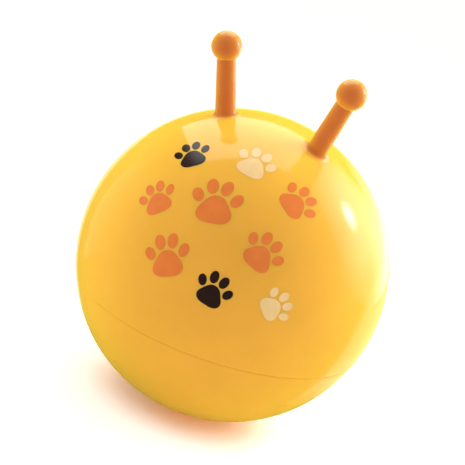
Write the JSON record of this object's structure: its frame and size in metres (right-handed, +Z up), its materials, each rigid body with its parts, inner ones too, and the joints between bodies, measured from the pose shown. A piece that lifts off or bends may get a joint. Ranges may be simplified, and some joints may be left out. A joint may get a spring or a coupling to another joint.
{
  "type": "hopper ball",
  "caption": "Inflatable vinyl hopper ball with soft knobbed horn handles, for a child to sit on, hold and bounce, with a plug valve at the back.",
  "frame": {"origin": "on the floor, in the middle of the ball's flat contact patch, straight under the ball's centre", "axes": "+Z up through the ball's centre and pole, front of the hopper faces -Y, +X to the right as seen from the front"},
  "size_m": [0.45, 0.45, 0.5452],
  "materials": {
    "yellow_vinyl": "glossy yellow-orange vinyl, slightly see-through at thin edges",
    "orange_vinyl": "satin orange vinyl",
    "white_vinyl": "satin off-white vinyl"
  },
  "bodies": {
    "ball": {"upper_shell": "yellow_vinyl", "lower_shell": "yellow_vinyl", "left_horn_root": "orange_vinyl", "right_horn_root": "orange_vinyl", "valve_seat": "yellow_vinyl"},
    "left_horn": {"left_horn_grip": "orange_vinyl", "left_horn_knob": "orange_vinyl"},
    "right_horn": {"right_horn_grip": "orange_vinyl", "right_horn_knob": "orange_vinyl"},
    "valve_plug": {"valve_plug": "white_vinyl"}
  },
  "joints": [
    {"name": "left_horn_flex", "type": "hinge", "parent": "ball", "child": "left_horn", "pos_m": [-0.07249, -0.04454, 0.44546], "axis": [0.9694, -0.0481, 0.2406], "range_deg": [-25, 15], "stiffness_Nm_per_rad": 3},
    {"name": "right_horn_flex", "type": "hinge", "parent": "ball", "child": "right_horn", "pos_m": [0.07249, -0.04454, 0.44546], "axis": [0.9694, 0.0481, -0.2406], "range_deg": [-25, 15], "stiffness_Nm_per_rad": 3},
    {"name": "valve_plug_pull", "type": "slide", "parent": "ball", "child": "valve_plug", "axis": [0, 0.9781, 0.2079], "range_m": [0, 0.02]}
  ]
}
